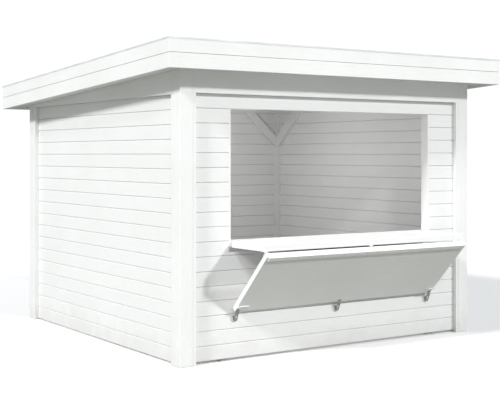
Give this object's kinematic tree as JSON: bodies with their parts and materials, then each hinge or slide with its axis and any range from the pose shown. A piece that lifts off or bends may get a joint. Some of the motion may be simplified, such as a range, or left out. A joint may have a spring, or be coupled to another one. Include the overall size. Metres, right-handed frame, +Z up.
{
  "type": "street kiosk",
  "caption": "White timber street kiosk with a low sloping roof and a wide serving hatch, whose hinged counter folds up with a flap that also braces it from below.",
  "frame": {"origin": "on the ground under the middle of the whole kiosk, with its counter down", "axes": "+X to the right along the serving front, +Y from the serving front to the rear, +Z up"},
  "size_m": [3.58, 3.8491, 2.5911],
  "materials": {
    "painted_timber": "white satin paint",
    "painted_boards": "white satin paint",
    "painted_fascia": "white satin paint",
    "roof_timber": "white wash",
    "roof_sheet": "matt roofing sheet",
    "edge_trim": "mill finish",
    "painted_leaf": "white satin paint",
    "painted_hinge": "white paint over steel",
    "zinc_steel": "weathered zinc"
  },
  "bodies": {
    "kiosk": {"post_front_left": "painted_timber", "post_front_right": "painted_timber", "post_rear_left": "painted_timber", "post_rear_right": "painted_timber", "front_beam": "painted_timber", "rear_beam": "painted_timber", "left_beam": "painted_timber", "right_beam": "painted_timber", "corner_stiles": "painted_timber", "knee_braces": "painted_timber", "jamb_posts": "painted_timber", "jamb_linings": "painted_timber", "sill_rail": "painted_timber", "front_wall_left": "painted_boards", "front_wall_right": "painted_boards", "front_wall_header": "painted_boards", "front_wall_apron": "painted_boards", "left_wall": "painted_boards", "right_wall": "painted_boards", "rear_wall": "painted_boards", "fascia_front": "painted_fascia", "fascia_rear": "painted_fascia", "fascia_left": "painted_fascia", "fascia_right": "painted_fascia", "soffit": "painted_fascia", "roof_joists": "roof_timber", "roof_deck": "roof_timber", "roof_covering": "roof_sheet", "roof_trim": "edge_trim", "counter_hinge_brackets": "painted_hinge", "hasp_staples": "zinc_steel"},
    "counter_leaf": {"counter": "painted_leaf", "counter_hinge_leaves": "painted_hinge"},
    "flap_leaf": {"flap": "painted_leaf", "flap_cover_batten": "painted_leaf", "flap_hinge_leaves": "painted_hinge", "hasp_plates": "zinc_steel", "grab_handles": "painted_hinge"},
    "strap_left": {"hasp_strap_left": "zinc_steel"},
    "strap_middle": {"hasp_strap_middle": "zinc_steel"},
    "strap_right": {"hasp_strap_right": "zinc_steel"}
  },
  "joints": [
    {"name": "counter_hinge", "type": "hinge", "parent": "kiosk", "child": "counter_leaf", "pos_m": [0.012, -1.42045, 0.907], "axis": [-1, 0, 0], "range_deg": [0, 90]},
    {"name": "flap_hinge", "type": "hinge", "parent": "counter_leaf", "child": "flap_leaf", "pos_m": [0.012, -1.88595, 0.9215], "axis": [-1, 0, 0], "range_deg": [0, 134.47]},
    {"name": "strap_left_hinge", "type": "hinge", "parent": "flap_leaf", "child": "strap_left", "pos_m": [-1.0435, -1.45022, 0.40126], "axis": [-1, 0, 0], "range_deg": [0, 110]},
    {"name": "strap_middle_hinge", "type": "hinge", "parent": "flap_leaf", "child": "strap_middle", "pos_m": [0.012, -1.45022, 0.40126], "axis": [-1, 0, 0], "range_deg": [0, 110]},
    {"name": "strap_right_hinge", "type": "hinge", "parent": "flap_leaf", "child": "strap_right", "pos_m": [1.0675, -1.45022, 0.40126], "axis": [-1, 0, 0], "range_deg": [0, 110]}
  ]
}
